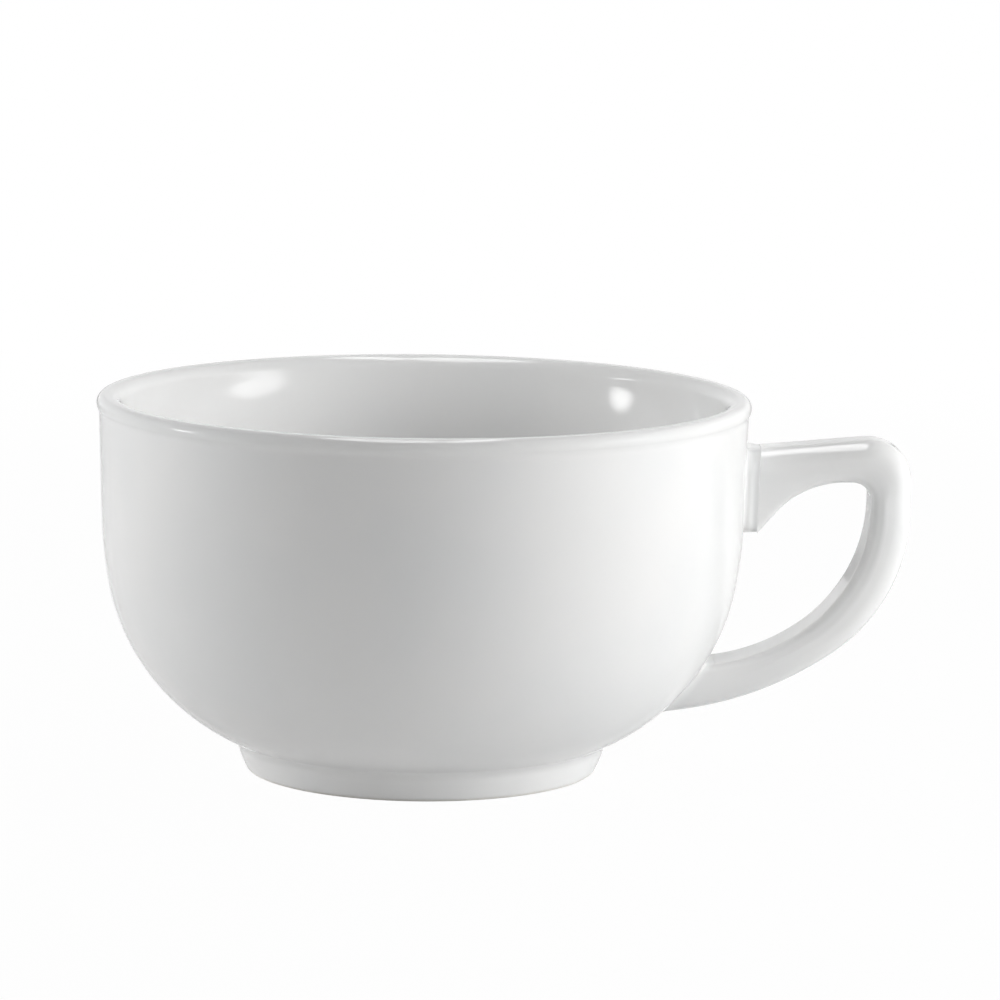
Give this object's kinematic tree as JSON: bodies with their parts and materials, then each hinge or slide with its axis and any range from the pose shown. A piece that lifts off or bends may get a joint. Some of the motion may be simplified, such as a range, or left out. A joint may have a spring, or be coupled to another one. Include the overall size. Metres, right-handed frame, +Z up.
{
  "type": "cappuccino cup",
  "caption": "Wide round cup with a rolled lip, a low foot ring and an angular strap handle, in white glazed ceramic.",
  "frame": {"origin": "on the cup's axis, in the plane that the foot ring stands on", "axes": "+Z up along the cup's axis, +X towards the handle, +Y across the handle"},
  "size_m": [0.1457, 0.117, 0.0676],
  "materials": {
    "white_glaze": "gloss",
    "foot_glaze": "gloss, with a bare standing face",
    "join_glaze": "gloss"
  },
  "bodies": {
    "root": {"bowl": "white_glaze", "foot_ring": "foot_glaze", "handle": "white_glaze", "upper_slip_join": "join_glaze", "lower_slip_join": "join_glaze"}
  },
  "joints": []
}
